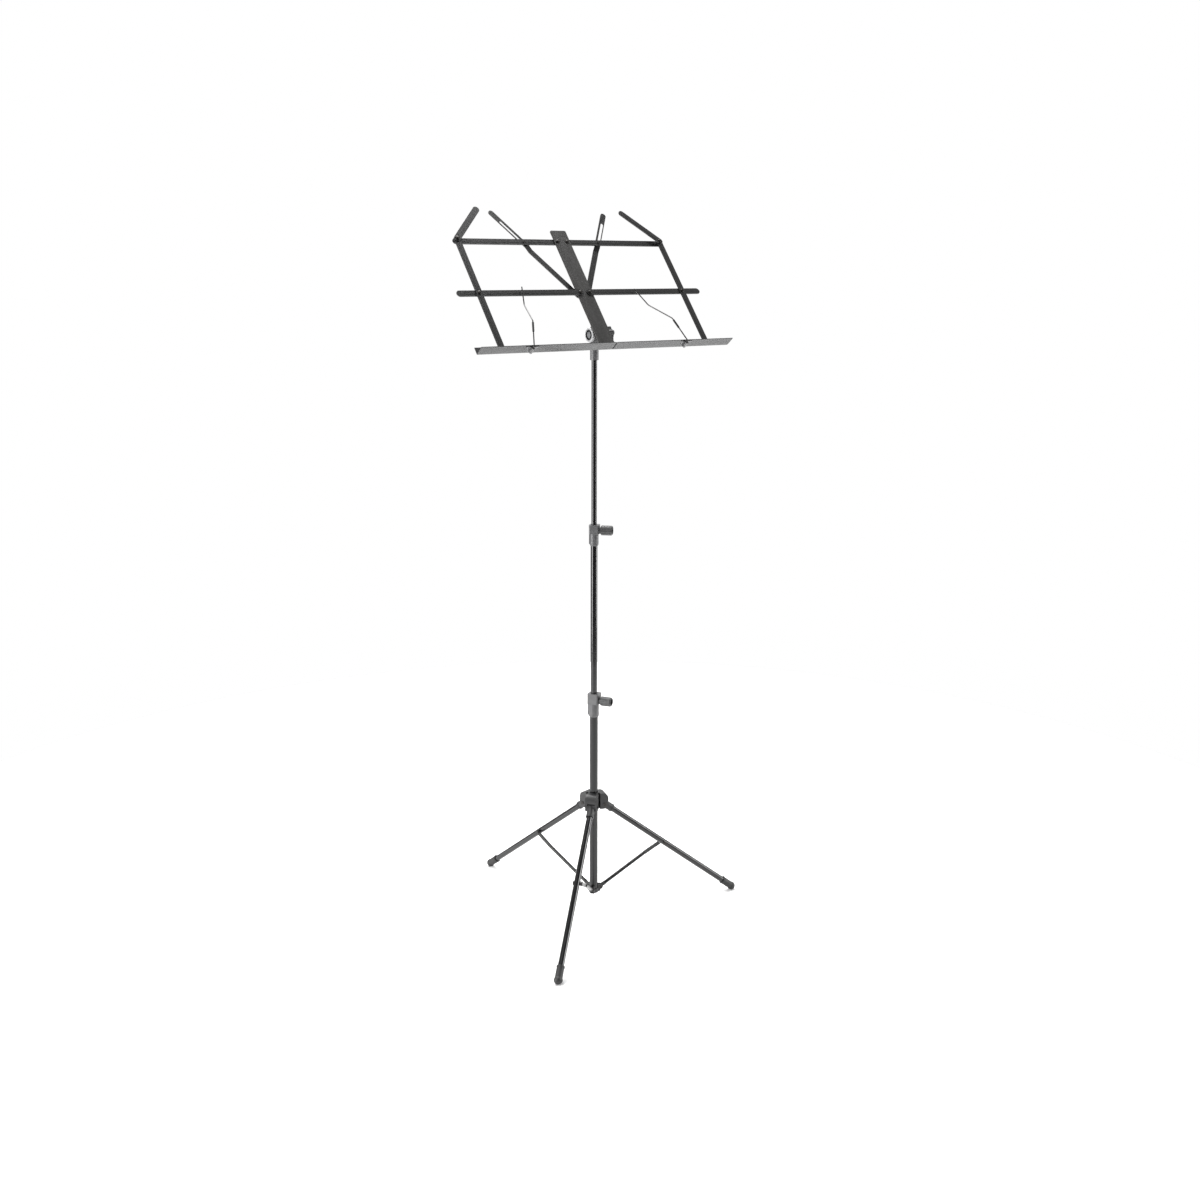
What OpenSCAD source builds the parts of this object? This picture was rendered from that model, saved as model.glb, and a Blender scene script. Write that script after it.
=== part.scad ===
// Folding music stand: telescopic column on a tripod, with a desk of riveted steel strips that folds up.
// Origin: on the floor, on the column's axis. The reader faces the desk from -Y.

/* [Column] */
// Outer diameter of the lower tube
lower_tube_d = 15; // [12:0.5:20]
// Wall of the three tubes
tube_wall = 0.9; // [0.8:0.1:1]
// Gap all round between the middle tube and the lower tube's bore
middle_play = 0.6; // [0.3:0.05:0.8]
// Gap all round between the upper tube and the middle tube's bore
upper_play = 0.35; // [0.3:0.05:0.6]
// Height at which the lower tube ends
lower_tube_top = 398; // [385:1:480]
// Height at which the middle tube ends
middle_tube_top = 704; // [650:1:740]
// Length of middle tube that stays inside the lower tube
middle_overlap = 66; // [60:1:75]
// Length of upper tube that stays inside the middle tube
upper_overlap = 90; // [60:1:90]
// Height of the axis that the desk tilts on
tilt_height = 1039; // [1000:1:1080]

/* [Tripod] */
// Height of the leg pivots
leg_pivot_z = 208; // [200:1:215]
// Distance from the column's axis to the centre of a foot
foot_r = 274; // [230:1:320]
// Outer diameter of a leg
leg_d = 11; // [9:0.5:12]
// Height of the strut pivots in the hub
strut_pivot_z = 45; // [42:1:50]
// Distance down the leg from its pivot to the strut's rivet
strut_joint = 150; // [120:1:180]
// Diameter of a strut
strut_d = 6.4; // [5:0.2:7]
// Direction of the first leg, from +X towards +Y
leg_turn = -17; // [-60:1:60]
// Radius of a foot's ball
foot_ball_r = 7.5; // [6.5:0.5:9]

/* [Desk] */
// How far the desk leans back from upright
desk_tilt = 39; // [5:1:70]
// Distance from the tilt axis to the middle of the desk plate
desk_offset = 20; // [19:0.5:26]
// Width of the desk plate
plate_w = 31; // [29:1:36]
// Top end of the desk plate, above the tilt axis
plate_top = 200; // [188:1:230]
// Distance between the bars' pivots up the plate
bar_pitch = 107; // [95:1:115]
// Height of the ledges' pivots, from the tilt axis
ledge_pivot_v = -37; // [-42:1:-32]
// Distance from the desk's middle to a wing's pivots
pivot_u = 9.4; // [8.8:0.2:10.4]
// Distance from a wing's pivots to its side bar
wing_arm = 194; // [150:1:220]
// Width of a strip
strip_w = 11.4; // [9:0.2:12]
// Thickness of a strip
strip_t = 1.5; // [1.2:0.1:1.8]
// Half width of the desk at its ledges
ledge_half = 250; // [232:1:290]
// Depth of the ledges' shelf
shelf_depth = 18.5; // [14:0.5:24]
// Reach of the middle bars beyond the side bars
mid_bar_reach = 34; // [20:1:45]
// Length of a corner finger
finger_len = 82; // [60:1:110]
// How far each page wire leans in, left and right
wire_lean = [15, 23]; // [0:1:40]
// Distance of each page wire's clip from the desk's middle
clip_u = [157, 149]; // [120:1:190]

/* [Knobs] */
// Diameter of the clamp knobs
knob_d = 17; // [15:0.5:20]
// Length of the clamp knobs' barrel
knob_len = 20; // [16:1:26]
// Directions of the lower and upper clamp knobs
knob_turn = [-57, -45]; // [-180:1:180]
// Diameter of the tilt knob
tilt_knob_d = 27; // [20:0.5:30]

/* [Fits] */
// Clearance between a pin or tube and the bore it turns or slides in
fit = 0.08; // [0.05:0.01:0.1]
// Gap between strips that turn on each other
strip_gap = 0.3; // [0.2:0.05:0.4]

/* [Hidden] */
$fn = 64;
eps = 0.5; // how far a cut runs past the face that it opens

// colours
black_paint = [0.12, 0.12, 0.12];
grey_plastic = [0.3, 0.3, 0.3];
black_rubber = [0.07, 0.07, 0.07];
bright_zinc = [0.75, 0.76, 0.78];
plate_grey = [0.36, 0.35, 0.34];

LEG = [0, 1, 2];                       // right, rear and front leg
function leg_azimuth(i) = leg_turn + 120 * i;

// tubes
middle_tube_d = lower_tube_d - 2 * tube_wall - 2 * middle_play;
upper_tube_d = middle_tube_d - 2 * tube_wall - 2 * upper_play;
lower_tube_foot = strut_pivot_z - 1;   // the tube stands on the hub
middle_tube_foot = lower_tube_top - middle_overlap;
upper_tube_foot = middle_tube_top - upper_overlap;
bush_len = 10;
bush_lip = 2;

// hub
hub_base_h = 8;
hub_z = lower_tube_foot - hub_base_h;
hub_plug_len = 26;
hub_r = lower_tube_d / 2 + 1;
lug_t = 2.2;                           // one cheek of a lug
strut_flat_t = 3;                      // thickness of a strut's flattened ends
lug_gap = strut_flat_t + 0.6;
lug_w = lug_gap + 2 * lug_t;
strut_eye_r = strut_d / 2 + 0.8;
strut_eye_gap = 0.5;                   // between a strut's eye and the column
strut_pivot_r = lower_tube_d / 2 + strut_eye_gap + strut_eye_r; // from the column's axis
lug_round = strut_eye_r + 0.8;
lug_start = lower_tube_d / 2 - 0.4;
step = 0.6;                            // between faces of one moulding that would otherwise be flush
pin_d = 3.2;

// collar
collar_wall = 2.6;
collar_core_r = lower_tube_d / 2 + collar_wall;
knuckle_r = leg_d / 2 + 1.4;
knuckle_len = 21;
knuckle_side_gap = 0.35;
knuckle_back_gap = 1;
leg_pivot_r = collar_core_r + knuckle_back_gap + knuckle_r; // from the column's axis
collar_slot = 2 * (knuckle_r + knuckle_side_gap);
cheek_t = 3.6;
collar_w = collar_slot + 2 * cheek_t;
collar_foot = leg_pivot_z - knuckle_r - 1;
collar_top = leg_pivot_z + 22;
collar_reach = leg_pivot_r + 6.5;
collar_pin_d = 4;

// legs
foot_z = foot_ball_r - 0.2;            // the ball is cut off flat at the floor
leg_run = foot_r - leg_pivot_r;
leg_drop = leg_pivot_z - foot_z;
leg_len = sqrt(leg_run * leg_run + leg_drop * leg_drop);
leg_angle = atan2(leg_run, leg_drop);  // from straight down
leg_start = 8;                         // the tube starts this far down from its pivot, in the knuckle
foot_len = 24;
foot_wall = 1.2;
leg_rivet_d = 4;
rivet_head_d = 8;
leg_rivet_head_t = 1.2;

// struts
joint_r = leg_pivot_r + strut_joint * sin(leg_angle);
joint_z = leg_pivot_z - strut_joint * cos(leg_angle);
strut_run = joint_r - strut_pivot_r;
strut_rise = joint_z - strut_pivot_z;
strut_len = sqrt(strut_run * strut_run + strut_rise * strut_rise);
strut_angle = atan2(strut_run, strut_rise); // from straight up
open_gap = 0.4;                        // between the leg and the strut's end, where they only meet
strut_side = leg_d / 2 + open_gap + strut_flat_t / 2;
strut_flat_from = strut_len - 42;         // from here to the rivet the strut is flat and lies beside the leg
flat_len = 11;
strut_cap_t = 1.6;

// clamps: lower, upper
clamp_skirt = [24, 21];
clamp_block_h = [19, 15.5];
function held_d(k) = k == 0 ? lower_tube_d : middle_tube_d;
function grip_d(k) = k == 0 ? middle_tube_d : upper_tube_d;
function held_top(k) = k == 0 ? lower_tube_top : middle_tube_top;
function clamp_w(k) = held_d(k) + 4;
clamp_boss = 1.5;                      // reach of the block towards its knob, past its other sides
screw_d = 6;
screw_z = 6;                           // height of the screw above the held tube's end
knob_neck = 2.6;
knob_neck_d = 12.5;
knob_recess = 6;
knob_wall = 2.6;
pad_len = 2.4;
pad_gap = 0.1;
function clamp_face(k) = clamp_w(k) / 2 + clamp_boss;

// tilt joint
socket_wall = 2.4;
socket_d = upper_tube_d + 2 * socket_wall;
socket_len = 24;
socket_cap = 5;
socket_foot = tilt_height - 41;
lug_half = 5;
lug_r = 8;
ear_t = 2;
ear_r = 9;
ear_in = lug_half + 0.2;
ear_out = ear_in + ear_t;
bolt_d = 6;
disc_r = 12;
disc_t = 4.2;
tilt_neck = 9;
tilt_knob_len = 17;
bracket_t = 1.5;
bracket_low = -24;
bracket_high = 18;

// desk layers, as distances in front of the plate's middle plane
plate_t = 2;
front_1 = plate_t / 2 + strip_gap;             // middle bars
front_2 = front_1 + strip_t + strip_gap;       // side bars
front_3 = front_2 + strip_t + strip_gap;       // fingers
back_1 = -plate_t / 2 - strip_gap - strip_t;   // top bars
back_2 = back_1 - strip_gap - strip_t;         // slotted ends of the diagonals
joggle = 2.8;
back_3 = back_2 - joggle;                      // pivoted ends of the diagonals
ledge_t = 1.2;
plate_foot = ledge_pivot_v - 6;
plate_corner = 2.5;
mid_v = ledge_pivot_v + bar_pitch;
top_v = mid_v + bar_pitch;
side_u = pivot_u + wing_arm;
ledge_low = ledge_pivot_v - strip_w / 2 - 2.3; // underside of the shelf
flange_h = 12.4;
ledge_split = [3.4, 5.6];                      // where the left and right ledges end, right of the middle
rib_w = 3.4;
rib_h = 0.25;
rivet_d = 4;
head_d = 7.4;
head_t = 0.9;
slide_pin_u = 66;                              // of the top bar's slide pin, from its pivot
slide_pin_d = 1.4;
pin_head_d = 5;
slot_w = 5;
diag_w = 10;
slot_end = 50;                                 // length of the slot past the pin
diag_tip = 22;                                 // and from the slot's end to the tip
diag_run = slide_pin_u;
diag_angle = atan2(diag_run, bar_pitch);       // from straight up
diag_pin = sqrt(diag_run * diag_run + bar_pitch * bar_pitch);
slot_bias = 0.9;                               // the slot's middle lies this much below the pin
finger_angle = 46.5;                           // above the top bar, pointing inwards

// page wires, in the desk's own plane: [up the wire, in front of the plate]
wire_d = 2;
wire_front = front_1 + shelf_depth + wire_d / 2 + 0.4;
wire_rest = front_3 + strip_t + wire_d / 2 + 0.4;
wire_bend = 3;
wire_points = [[0, wire_front], [46, wire_front + 7], [93, wire_rest], [130, wire_rest]];
sleeve_d = 3.4;
sleeve_len = 16;
clip_wall = 2;                          // of the clip's rolled barrel
clip_sheet = 1.2;
clip_len = 12;
clip_set = 1.8;                        // how far the clip lies behind the shelf's edge
clip_wing = [9, 1.5];                  // reach of the clip's plate past its barrel, at its front and back
wire_tail = 12;

// ---------- plain shapes ----------

// a path of [y, z] points with its corners rounded, starting the given distance before each corner
function unit(v) = v / norm(v);
function rounded(p, reach) = concat([p[0]],
    [for (k = [1 : len(p) - 2], s = [0 : 0.2 : 1])
        let (from = p[k] + reach * unit(p[k - 1] - p[k]), to = p[k] + reach * unit(p[k + 1] - p[k]))
            (1 - s) * (1 - s) * from + 2 * s * (1 - s) * p[k] + s * s * to],
    [p[len(p) - 1]]);

// a round rod swept along a path in the YZ plane
module bent_rod(path, d, sides = 16) {
    last = len(path) - 1;
    rings = [for (k = [0 : last], a = [0 : 360 / sides : 359])
        let (way = unit(path[min(k + 1, last)] - path[max(k - 1, 0)]))
            [d / 2 * cos(a), path[k].x + d / 2 * sin(a) * way.y, path[k].y - d / 2 * sin(a) * way.x]];
    polyhedron(rings, concat([[for (j = [0 : sides - 1]) j]], [[for (j = [sides - 1 : -1 : 0]) last * sides + j]],
        [for (k = [0 : last - 1], j = [0 : sides - 1]) let (n = (j + 1) % sides)
            each [[k * sides + j, (k + 1) * sides + j, (k + 1) * sides + n], [k * sides + j, (k + 1) * sides + n, k * sides + n]]]));
}

// outline of a rectangle with round corners, from its lower left corner
module round_rect(w, h, r) {
    translate([r, 0]) square([w - 2 * r, h]);
    translate([0, r]) square([w, h - 2 * r]);
    for (x = [r, w - r], y = [r, h - r]) translate([x, y]) circle(r);
}

// pose of leg i: x points outwards from the column, y round it, z up
module on_leg(i) rotate([0, 0, leg_azimuth(i)]) children();

// along leg i from its pivot, z down the leg
module down_leg(i) on_leg(i) translate([leg_pivot_r, 0, leg_pivot_z]) rotate([0, 180 - leg_angle, 0]) children();

// along strut i from its hub pivot, z up the strut
module up_strut(i) on_leg(i) translate([strut_pivot_r, 0, strut_pivot_z]) rotate([0, strut_angle, 0]) children();

// the desk: x to the reader's right, y away from the reader, z up the desk, from the tilt axis
module on_desk() translate([0, 0, tilt_height]) rotate([-desk_tilt, 0, 0]) children();

// a flat shape in the desk's plane, between two distances in front of the plate
module desk_flat(front, t) translate([0, -desk_offset - front, 0]) rotate([90, 0, 0]) linear_extrude(t) children();

// the left wing, or the right wing as its mirror image
module wing(right) if (right) children(); else mirror([1, 0, 0]) children();

// ---------- column ----------

module tube(d, z0, z1) color(black_paint) translate([0, 0, z0]) difference() {
    cylinder(d = d, h = z1 - z0);
    translate([0, 0, -eps]) cylinder(d = d - 2 * tube_wall, h = z1 - z0 + 2 * eps);
}

module lower_tube() tube(lower_tube_d, lower_tube_foot, lower_tube_top);
module middle_tube() tube(middle_tube_d, middle_tube_foot, middle_tube_top);
module upper_tube() tube(upper_tube_d, upper_tube_foot, socket_foot + socket_len - socket_cap);

// plastic guide on the foot of a sliding tube, which runs in the next tube's bore
module bush(inner_d, outer_d, z) color(black_rubber) translate([0, 0, z]) difference() {
    union() {
        translate([0, 0, -bush_lip]) cylinder(d = outer_d - 2 * tube_wall - 2 * fit, h = bush_lip);
        cylinder(d = inner_d - 2 * tube_wall, h = bush_len);
    }
    translate([0, 0, -bush_lip - eps]) cylinder(d = inner_d - 2 * tube_wall - 3, h = bush_len + bush_lip + 2 * eps);
}

module middle_tube_bush() bush(middle_tube_d, lower_tube_d, middle_tube_foot);
module upper_tube_bush() bush(upper_tube_d, middle_tube_d, upper_tube_foot);

// ---------- tripod ----------

// one lug of the hub: two cheeks with the strut's pin across them
module hub_lug() difference() {
    translate([0, lug_w / 2, 0]) rotate([90, 0, 0]) linear_extrude(lug_w) {
        translate([strut_pivot_r, strut_pivot_z]) circle(lug_round);
        translate([lug_start, hub_z + step]) square([strut_pivot_r - lug_start, strut_pivot_z - hub_z - step + lug_round]);
    }
    translate([lower_tube_d / 2 + 0.1, -lug_gap / 2, hub_z + 2]) cube([30, lug_gap, 40]);
}

module tripod_hub() color(grey_plastic) difference() {
    union() {
        translate([0, 0, hub_z]) cylinder(r = hub_r, h = hub_base_h);
        for (i = LEG) on_leg(i) hub_lug();
        translate([0, 0, lower_tube_foot - eps])
            cylinder(d = lower_tube_d - 2 * tube_wall, h = hub_plug_len + eps);
    }
    // seat of the tube
    translate([0, 0, lower_tube_foot]) difference() {
        cylinder(d = lower_tube_d, h = 40);
        translate([0, 0, -eps]) cylinder(d = lower_tube_d - 2 * tube_wall, h = 41);
    }
    // room for the struts' eyes
    for (i = LEG) on_leg(i) translate([lower_tube_d / 2 + 0.1, -lug_gap / 2, hub_z + 2])
        cube([30, lug_gap, 40]);
    for (i = LEG) on_leg(i) translate([strut_pivot_r, 0, strut_pivot_z]) rotate([90, 0, 0])
        cylinder(d = pin_d, h = 2 * lug_w, center = true);
    translate([0, 0, hub_z - eps]) cylinder(d = 6, h = 80);
}

module hub_pins() color(bright_zinc) for (i = LEG) on_leg(i)
    translate([strut_pivot_r, 0, strut_pivot_z]) rotate([90, 0, 0]) {
        cylinder(d = pin_d, h = lug_w, center = true);
        for (s = [-1, 1]) translate([0, 0, s * (lug_w / 2 + 0.4)]) cylinder(d = pin_d + 1.6, h = 0.8, center = true);
    }

// side outline of one fork of the collar
module fork_outline() {
    top_r = 11;
    low_r = 6;
    start = collar_core_r - 1;
    translate([start, collar_foot]) square([collar_reach - low_r - start, collar_top - collar_foot - top_r]);
    translate([start, collar_foot + low_r]) square([collar_reach - start, collar_top - collar_foot - low_r - top_r]);
    translate([start, collar_foot]) square([collar_reach - top_r - start, collar_top - collar_foot]);
    translate([collar_reach - low_r, collar_foot + low_r]) circle(low_r);
    intersection() {
        translate([collar_reach - top_r, collar_top - top_r]) circle(top_r);
        translate([start, collar_foot]) square([collar_reach, collar_top - collar_foot]);
    }
}

module leg_collar() color(grey_plastic) difference() {
    union() {
        translate([0, 0, collar_foot - step]) cylinder(r = collar_core_r, h = collar_top - collar_foot + 2 * step);
        for (i = LEG) on_leg(i) translate([0, collar_w / 2, 0]) rotate([90, 0, 0])
            linear_extrude(collar_w) fork_outline();
    }
    translate([0, 0, collar_foot - 2 * step]) cylinder(d = lower_tube_d + 2 * fit, h = collar_top - collar_foot + 4 * step);
    for (i = LEG) on_leg(i) {
        // slot for the leg's knuckle, open below and outwards
        translate([collar_core_r + 0.2, -collar_slot / 2, collar_foot - eps])
            cube([collar_reach, collar_slot, leg_pivot_z - collar_foot + knuckle_r + 1 + eps]);
        translate([leg_pivot_r, 0, leg_pivot_z]) rotate([90, 0, 0])
            cylinder(d = collar_pin_d, h = 2 * collar_w, center = true);
    }
}

module collar_pins() color(bright_zinc) for (i = LEG) on_leg(i)
    translate([leg_pivot_r, 0, leg_pivot_z]) rotate([90, 0, 0]) {
        cylinder(d = collar_pin_d, h = collar_w, center = true);
        for (s = [-1, 1]) translate([0, 0, s * (collar_w / 2 + 0.5)]) cylinder(d = collar_pin_d + 2, h = 1, center = true);
    }

// moulded end of a leg, which turns in the collar
module knuckle(i) color(grey_plastic) down_leg(i) difference() {
    union() {
        rotate([90, 0, 0]) cylinder(r = knuckle_r, h = 2 * knuckle_r, center = true);
        cylinder(r = knuckle_r, h = knuckle_len);
        translate([0, 0, knuckle_len - 3]) cylinder(r = knuckle_r + 0.5, h = 3);
    }
    rotate([90, 0, 0]) cylinder(d = collar_pin_d + 2 * fit, h = 4 * knuckle_r, center = true);
    translate([0, 0, leg_start]) cylinder(d = leg_d, h = knuckle_len);
}

module leg(i) color(black_paint) down_leg(i) difference() {
    translate([0, 0, leg_start]) cylinder(d = leg_d, h = leg_len - leg_start - foot_ball_r / 2);
    translate([0, 0, leg_start - eps]) cylinder(d = leg_d - 2 * tube_wall, h = leg_len);
    translate([0, 0, strut_joint]) rotate([90, 0, 0]) cylinder(d = leg_rivet_d, h = 2 * leg_d, center = true);
}

// rubber foot: a sleeve on the leg that ends in a ball
module foot(i) color(black_rubber) difference() {
    down_leg(i) {
        translate([0, 0, leg_len]) sphere(r = foot_ball_r);
        translate([0, 0, leg_len - foot_len]) cylinder(r = leg_d / 2 + foot_wall, h = foot_len);
        translate([0, 0, leg_len - foot_len]) cylinder(r = leg_d / 2 + foot_wall + 0.5, h = 2.5);
    }
    down_leg(i) translate([0, 0, leg_len - foot_len - eps])
        cylinder(d = leg_d, h = foot_len + eps - foot_ball_r / 2);
    translate([0, 0, -20]) cube([1000, 1000, 40], center = true);
}

// strut: a round bar that runs from the leg's plane to beside the leg, with flattened ends and its half of the rivet
module strut(i) color(black_paint) up_strut(i) {
    side_len = strut_len - strut_flat_from;
    bar_run = strut_flat_from - flat_len + 4;
    difference() {
        union() {
            translate([0, strut_flat_t / 2, 0]) rotate([90, 0, 0]) linear_extrude(strut_flat_t) {
                circle(strut_eye_r);
                translate([-strut_d / 2, 0]) square([strut_d, flat_len + 1]);
            }
            translate([0, 0, flat_len - 2]) rotate([-atan2(strut_side, bar_run), 0, 0])
                cylinder(d = strut_d, h = norm([strut_side, bar_run]));
            translate([0, strut_side + strut_flat_t / 2, strut_len]) rotate([90, 0, 0]) linear_extrude(strut_flat_t) {
                circle(strut_eye_r);
                translate([-strut_d / 2 + 0.1, -side_len]) square([strut_d - 0.2, side_len]);
            }
        }
        rotate([90, 0, 0]) cylinder(d = pin_d + 2 * fit, h = 20, center = true);
    }
    translate([0, strut_side + strut_flat_t / 2 + strut_cap_t, strut_len]) rotate([90, 0, 0])
        cylinder(d = rivet_head_d, h = strut_cap_t);
}

// rivet through a leg, with its head on the side away from the strut
module leg_rivet(i) color(bright_zinc) down_leg(i) translate([0, 0, strut_joint]) rotate([90, 0, 0])
    translate([0, 0, -leg_d / 2]) {
        cylinder(d = leg_rivet_d, h = leg_d);
        translate([0, 0, leg_d]) cylinder(d = rivet_head_d - 1, h = leg_rivet_head_t);
    }

// ---------- clamps ----------

// pose of clamp k's screw: x points out to the knob, from the column's axis
module at_screw(k) translate([0, 0, held_top(k) + screw_z]) rotate([0, 0, knob_turn[k]]) children();

module clamp(k) color(grey_plastic) difference() {
    translate([0, 0, held_top(k)]) rotate([0, 0, knob_turn[k]]) {
        w = clamp_w(k);
        // block that holds the screw
        linear_extrude(clamp_block_h[k]) translate([-w / 2, -w / 2]) round_rect(w + clamp_boss, w, 2.5);
        // round skirt on the tube below, with a rib up its back
        translate([0, 0, -clamp_skirt[k]]) cylinder(d1 = w - 2.2, d2 = w - 0.6, h = 2.5);
        translate([0, 0, 2.5 - clamp_skirt[k]]) cylinder(d = w - 0.6, h = clamp_skirt[k] - 2.5);
        translate([0, 0, 3.5 - clamp_skirt[k]]) linear_extrude(clamp_skirt[k] - 3.5)
            translate([-w / 2, -w * 0.3]) square([w / 2, w * 0.6]);
    }
    translate([0, 0, held_top(k) - clamp_skirt[k] - eps]) cylinder(d = held_d(k), h = clamp_skirt[k] + eps);
    translate([0, 0, held_top(k) - eps]) cylinder(d = grip_d(k) + 2 * fit, h = clamp_block_h[k] + 2 * eps);
    at_screw(k) rotate([0, 90, 0]) cylinder(d = screw_d + 2 * fit, h = clamp_w(k));
}

// knob moulded onto its screw: a fluted barrel with a hollow end
module clamp_knob(k) color(grey_plastic) at_screw(k) rotate([0, 90, 0]) {
    face = clamp_face(k) + 0.3;
    tip = grip_d(k) / 2 + pad_gap + pad_len + 0.1;
    translate([0, 0, tip]) cylinder(d = screw_d, h = face - tip + 1);
    translate([0, 0, face]) cylinder(d = knob_neck_d, h = knob_neck + 1);
    translate([0, 0, face + knob_neck]) difference() {
        union() {
            cylinder(d1 = knob_d - 2, d2 = knob_d, h = 1);
            translate([0, 0, 1]) cylinder(d = knob_d, h = knob_len - 3);
            translate([0, 0, knob_len - 2]) cylinder(d1 = knob_d, d2 = knob_d - 3.4, h = 2);
        }
        translate([0, 0, knob_len - knob_recess]) cylinder(d = knob_d - 2 * knob_wall, h = knob_recess + eps);
        for (a = [22.5 : 45 : 337.5]) rotate([0, 0, a])
            translate([knob_d / 2 + 1.6, 0, -eps]) cylinder(r = 2.2, h = knob_len + 2 * eps);
    }
}

// brass pad that the screw presses on the tube
module clamp_pad(k) color([0.78, 0.65, 0.35]) difference() {
    at_screw(k) rotate([0, 90, 0]) cylinder(d = screw_d - 0.1, h = grip_d(k) / 2 + pad_gap + pad_len);
    cylinder(d = grip_d(k) + 2 * pad_gap, h = 3000, center = true);
    at_screw(k) translate([-20, -10, -10]) cube([20, 20, 20]);
}

// ---------- tilt joint ----------

module desk_socket() color(grey_plastic) difference() {
    union() {
        translate([0, 0, socket_foot]) cylinder(d = socket_d, h = socket_len);
        translate([-lug_half, -socket_d / 2 + 0.6, socket_foot + socket_len - 6])
            cube([2 * lug_half, socket_d - 1.2, tilt_height - socket_foot - socket_len + 6]);
        translate([-lug_half, 0, tilt_height]) rotate([0, 90, 0]) cylinder(r = lug_r, h = 2 * lug_half);
    }
    translate([0, 0, socket_foot - eps])
        cylinder(d = upper_tube_d + 2 * fit, h = socket_len - socket_cap + 0.2 + eps);
    translate([-20, 0, tilt_height]) rotate([0, 90, 0]) cylinder(d = bolt_d + 2 * fit, h = 40);
}

// pressed bracket behind the plate: a base with two ears
module desk_bracket() color(black_paint) on_desk() {
    front = desk_offset - plate_t / 2;
    difference() {
        union() {
            for (s = [-1, 1]) translate([s * (ear_in + ear_t / 2) - ear_t / 2, 0, 0])
                rotate([90, 0, 90]) linear_extrude(ear_t) mirror([1, 0]) polygon(concat(
                    [[front, bracket_low + 6], [front, bracket_high - 4]],
                    [for (a = [75 : 15 : 285]) [ear_r * cos(a), ear_r * sin(a)]]));
            translate([-11, -front, bracket_low]) cube([22, bracket_t, bracket_high - bracket_low]);
        }
        translate([-20, 0, 0]) rotate([0, 90, 0]) cylinder(d = bolt_d, h = 40);
    }
}

module tilt_bolt() color(bright_zinc) on_desk() rotate([0, 90, 0]) {
    translate([0, 0, -ear_out - disc_t + 1]) cylinder(d = bolt_d, h = 2 * ear_out + disc_t + tilt_neck);
    translate([0, 0, -ear_out - disc_t + 0.2]) cylinder(d = 11, h = 2.6, $fn = 6);
}

// dished friction disc under the bolt's head
module tilt_disc() color(grey_plastic) on_desk() rotate([0, -90, 0]) translate([0, 0, ear_out])
    rotate_extrude() difference() {
        union() {
            square([disc_r - 1.5, disc_t]);
            square([disc_r, disc_t - 1.5]);
            translate([disc_r - 1.5, disc_t - 1.5]) circle(1.5);
        }
        translate([-eps, disc_t - 2.8]) square([8 + eps, 4]);
        translate([-20, -eps]) square([20 + bolt_d / 2, 20]);
        translate([0, -3]) square([20, 3]);
    }

module tilt_knob() color(grey_plastic) on_desk() rotate([0, 90, 0]) translate([0, 0, ear_out + 0.3]) difference() {
    union() {
        cylinder(d = 13, h = tilt_neck);
        translate([0, 0, tilt_neck - 1]) cylinder(d = tilt_knob_d - 7, h = tilt_knob_len);
        for (a = [0 : 72 : 288]) rotate([0, 0, a]) translate([tilt_knob_d / 2 - 4.5, 0, tilt_neck - 1])
            translate([0, 0, step]) cylinder(r = 4.5, h = tilt_knob_len - 2 * step);
    }
    translate([0, 0, -eps]) cylinder(d = bolt_d + 2 * fit, h = tilt_neck + 6);
}

// ---------- desk ----------

module desk_plate() color(plate_grey) on_desk() difference() {
    desk_flat(-plate_t / 2, plate_t) difference() {
        translate([-plate_w / 2, plate_foot]) round_rect(plate_w, plate_top - plate_foot, plate_corner);
        for (s = [-1, 1], v = [ledge_pivot_v, mid_v, top_v]) translate([s * pivot_u, v]) circle(d = rivet_d);
    }
}

// rivet along the desk's normal between two distances in front of the plate, with a head at each end
module rivet(u, v, back, front, d = rivet_d) translate([u, -desk_offset, v]) rotate([90, 0, 0]) {
    translate([0, 0, back]) cylinder(d = d, h = front - back);
    translate([0, 0, front]) cylinder(d = head_d, h = head_t);
    translate([0, 0, back - head_t]) cylinder(d = head_d, h = head_t);
}

// the six pivots of the wings, with spacers behind the plate for the diagonals
module plate_rivets() color(bright_zinc) on_desk() for (s = [-1, 1]) {
    rivet(s * pivot_u, ledge_pivot_v, -plate_t / 2, front_1 + ledge_t + 0.1);
    rivet(s * pivot_u, top_v, back_1 - 0.1, plate_t / 2);
    rivet(s * pivot_u, mid_v, back_3 - 0.1, front_1 + strip_t + 0.1);
    translate([s * pivot_u, -desk_offset + plate_t / 2, mid_v]) rotate([-90, 0, 0])
        cylinder(d = rivet_d + 2.4, h = -back_3 - strip_t - plate_t / 2 - 0.1);
}

// rolled strip in the desk's plane, along +x from its first pivot, with a rib down its middle
module strip(length, start, front, holes, w = strip_w) difference() {
    union() {
        desk_flat(front, strip_t) {
            translate([-start, -w / 2]) square([length + start, w]);
            translate([-start, 0]) circle(d = w);
            translate([length, 0]) circle(d = w);
        }
        desk_flat(front + strip_t, rib_h) translate([-start + 8, -rib_w / 2]) square([length + start - 16, rib_w]);
    }
    desk_flat(front - eps, strip_t + 2 * eps) for (x = holes) translate([x, 0]) circle(d = rivet_d + 2 * fit);
    // flat seats in the rib for the rivets' heads
    desk_flat(front + strip_t, 1) for (x = holes) translate([x, 0]) circle(d = head_d + 0.4);
}

module mid_bar(right) color(black_paint) on_desk() wing(right) translate([pivot_u, 0, mid_v])
    strip(wing_arm + mid_bar_reach, 0, front_1, [0, wing_arm]);

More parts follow.
